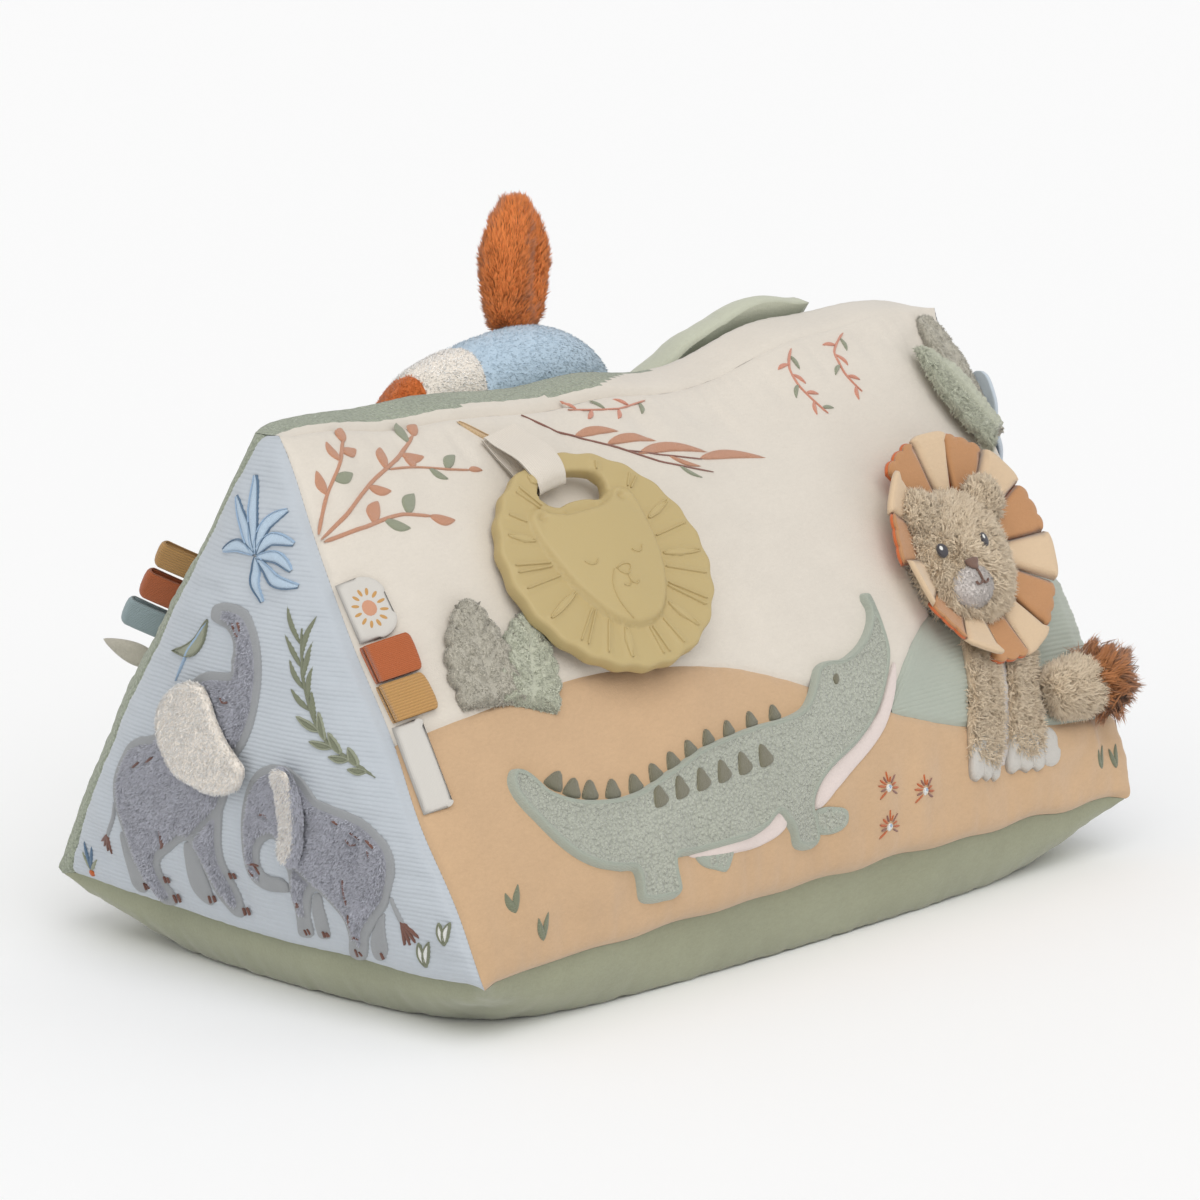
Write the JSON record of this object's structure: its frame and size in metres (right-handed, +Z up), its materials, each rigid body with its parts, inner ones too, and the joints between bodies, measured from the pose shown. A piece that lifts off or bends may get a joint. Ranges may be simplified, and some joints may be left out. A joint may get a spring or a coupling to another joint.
{
  "type": "soft activity triangle",
  "caption": "Soft baby toy: a filled triangular cushion with cloth animals, liftable leaves and ears, seam tags, a stuffed bird and a hanging teether.",
  "frame": {"origin": "centre of the flat face under the base, on the surface that the toy stands on", "axes": "+Z up; +X along the cushion's length, towards the lion; -Y out of the front panel, with the crocodile"},
  "size_m": [0.4283, 0.2476, 0.2834],
  "materials": {
    "peach_velour": "matte",
    "sage_rib": "matte",
    "cream_velour": "matte",
    "sage_fleece": "matte",
    "lion_plush": "matte",
    "pale_plush": "matte",
    "brown_felt": "matte",
    "cream_felt": "matte",
    "brown_fur": "matte",
    "grey_green_fleece": "matte",
    "pale_green_fleece": "matte",
    "white_satin": "matte",
    "ochre_ribbon": "matte",
    "rust_ribbon": "matte",
    "cream_ribbon": "matte",
    "mustard_silicone": "satin",
    "sage_terry": "matte",
    "mist_ribbon": "matte",
    "blue_velour": "matte",
    "cream_plush": "matte",
    "orange_velour": "matte",
    "rust_fur": "matte",
    "blue_rib_jersey": "matte",
    "grey_plush": "matte",
    "pale_blue_jersey": "matte",
    "sage_velour": "matte",
    "fibre_filling": "matte"
  },
  "bodies": {
    "cushion": {"sand_panel": "peach_velour", "bush_panel": "sage_rib", "sky_panel": "cream_velour", "crocodile": "sage_fleece", "lion_leg_left": "lion_plush", "lion_paw_left": "pale_plush", "lion_leg_right": "lion_plush", "lion_paw_right": "pale_plush", "lion_neck": "lion_plush", "frond_upper": "grey_green_fleece", "back_panel": "sage_terry", "bird_body": "blue_velour", "bird_face": "cream_plush", "bird_beak": "orange_velour", "left_end_panel": "blue_rib_jersey", "elephant_large": "grey_plush", "elephant_small": "grey_plush", "right_end_panel": "blue_rib_jersey", "base_panel": "sage_velour", "filling": "fibre_filling"},
    "ear_large": {"ear_large": "cream_plush"},
    "ear_small": {"ear_small": "cream_plush"},
    "leaf_left": {"leaf_left": "grey_green_fleece"},
    "leaf_right": {"leaf_right": "pale_green_fleece"},
    "frond_middle": {"frond_middle": "pale_green_fleece"},
    "frond_blue": {"frond_blue": "pale_blue_jersey"},
    "blank_label": {"blank_label": "white_satin"},
    "ochre_loop": {"ochre_loop": "ochre_ribbon"},
    "rust_loop": {"rust_loop": "rust_ribbon"},
    "round_tag": {"round_tag": "white_satin"},
    "back_ochre_loop": {"back_ochre_loop": "ochre_ribbon"},
    "back_rust_loop": {"back_rust_loop": "rust_ribbon"},
    "back_mist_loop": {"back_mist_loop": "mist_ribbon"},
    "back_leaf_tag": {"back_leaf_tag": "grey_green_fleece"},
    "ridge_leaf": {"ridge_leaf": "pale_green_fleece"},
    "bird_crest": {"bird_crest": "rust_fur"},
    "lion_head": {"lion_head": "lion_plush", "lion_muzzle": "pale_plush", "lion_ear_left": "lion_plush", "lion_ear_right": "lion_plush", "mane_petal_1": "brown_felt", "mane_petal_2": "cream_felt", "mane_petal_3": "brown_felt", "mane_petal_4": "cream_felt", "mane_petal_5": "brown_felt", "mane_petal_6": "cream_felt", "mane_petal_7": "brown_felt", "mane_petal_8": "cream_felt", "mane_petal_9": "brown_felt", "mane_petal_10": "cream_felt", "mane_petal_11": "brown_felt", "mane_petal_12": "cream_felt", "mane_petal_13": "brown_felt", "mane_petal_14": "cream_felt"},
    "lion_tail": {"lion_tail": "lion_plush", "tail_tuft": "brown_fur"},
    "ribbon": {"teether_ribbon": "cream_ribbon"},
    "teether": {"teether": "mustard_silicone"}
  },
  "joints": [
    {"name": "ear_large_lift", "type": "hinge", "parent": "cushion", "child": "ear_large", "pos_m": [-0.21212, 0.016, 0.084], "axis": [0, 0, 1], "range_deg": [0, 100]},
    {"name": "ear_small_lift", "type": "hinge", "parent": "cushion", "child": "ear_small", "pos_m": [-0.2114, -0.02555, 0.07809], "axis": [0, 0, -1], "range_deg": [0, 100]},
    {"name": "leaf_left_lift", "type": "hinge", "parent": "cushion", "child": "leaf_left", "pos_m": [-0.1565, -0.08318, 0.11764], "axis": [1, 0, 0], "range_deg": [0, 90]},
    {"name": "leaf_right_lift", "type": "hinge", "parent": "cushion", "child": "leaf_right", "pos_m": [-0.1315, -0.0888, 0.11482], "axis": [1, 0, 0], "range_deg": [0, 90]},
    {"name": "frond_middle_lift", "type": "hinge", "parent": "cushion", "child": "frond_middle", "pos_m": [0.186, -0.04975, 0.16686], "axis": [0.66, 0.3683, 0.6548], "range_deg": [0, 60]},
    {"name": "frond_blue_lift", "type": "hinge", "parent": "cushion", "child": "frond_blue", "pos_m": [0.20381, -0.026, 0.154], "axis": [0, 1, 0], "range_deg": [0, 80]},
    {"name": "blank_label_lift", "type": "hinge", "parent": "cushion", "child": "blank_label", "pos_m": [-0.1941, -0.08049, 0.1027], "axis": [0, -0.4903, -0.8716], "range_deg": [0, 100]},
    {"name": "ochre_loop_lift", "type": "hinge", "parent": "cushion", "child": "ochre_loop", "pos_m": [-0.19319, -0.06748, 0.12579], "axis": [0, -0.4903, -0.8716], "range_deg": [0, 100]},
    {"name": "rust_loop_lift", "type": "hinge", "parent": "cushion", "child": "rust_loop", "pos_m": [-0.19256, -0.05931, 0.13954], "axis": [0, -0.4903, -0.8716], "range_deg": [0, 100]},
    {"name": "round_tag_lift", "type": "hinge", "parent": "cushion", "child": "round_tag", "pos_m": [-0.19169, -0.04711, 0.15678], "axis": [0, -0.4903, -0.8716], "range_deg": [0, 100]},
    {"name": "back_ochre_loop_bend", "type": "hinge", "parent": "cushion", "child": "back_ochre_loop", "pos_m": [-0.166, 0.05833, 0.15219], "axis": [0, -0.4903, 0.8716], "range_deg": [-25, 25], "stiffness_Nm_per_rad": 0.004},
    {"name": "back_rust_loop_bend", "type": "hinge", "parent": "cushion", "child": "back_rust_loop", "pos_m": [-0.166, 0.06711, 0.13934], "axis": [0, -0.4903, 0.8716], "range_deg": [-25, 25], "stiffness_Nm_per_rad": 0.004},
    {"name": "back_mist_loop_bend", "type": "hinge", "parent": "cushion", "child": "back_mist_loop", "pos_m": [-0.166, 0.07522, 0.12612], "axis": [0, -0.4903, 0.8716], "range_deg": [-25, 25], "stiffness_Nm_per_rad": 0.004},
    {"name": "back_leaf_tag_bend", "type": "hinge", "parent": "cushion", "child": "back_leaf_tag", "pos_m": [-0.166, 0.08448, 0.11068], "axis": [0, -0.4903, 0.8716], "range_deg": [-25, 25], "stiffness_Nm_per_rad": 0.004},
    {"name": "ridge_leaf_lift", "type": "hinge", "parent": "cushion", "child": "ridge_leaf", "pos_m": [0.154, 0.03591, 0.19695], "axis": [0, 0.4903, -0.8716], "range_deg": [0, 60]},
    {"name": "bird_crest_flop", "type": "hinge", "parent": "cushion", "child": "bird_crest", "pos_m": [-0.003, 0.04671, 0.23356], "axis": [-1, 0, 0], "range_deg": [-25, 25], "stiffness_Nm_per_rad": 0.03},
    {"name": "lion_head_turn", "type": "hinge", "parent": "cushion", "child": "lion_head", "pos_m": [0.1355, -0.07718, 0.13067], "axis": [0.03, -0.8509, 0.5245], "range_deg": [-20, 20], "stiffness_Nm_per_rad": 0.05},
    {"name": "lion_tail_lift", "type": "hinge", "parent": "cushion", "child": "lion_tail", "pos_m": [0.1434, -0.11446, 0.07706], "axis": [0, -0.4903, -0.8716], "range_deg": [0, 60], "stiffness_Nm_per_rad": 0.03},
    {"name": "ribbon_lift", "type": "hinge", "parent": "cushion", "child": "ribbon", "pos_m": [-0.08692, -0.02351, 0.20685], "axis": [-0.9854, -0.0142, -0.1698], "range_deg": [0, 90]},
    {"name": "teether_swing", "type": "hinge", "parent": "ribbon", "child": "teether", "pos_m": [-0.08451, -0.0434, 0.19449], "axis": [-0.9854, -0.0142, -0.1698], "range_deg": [0, 70]}
  ]
}
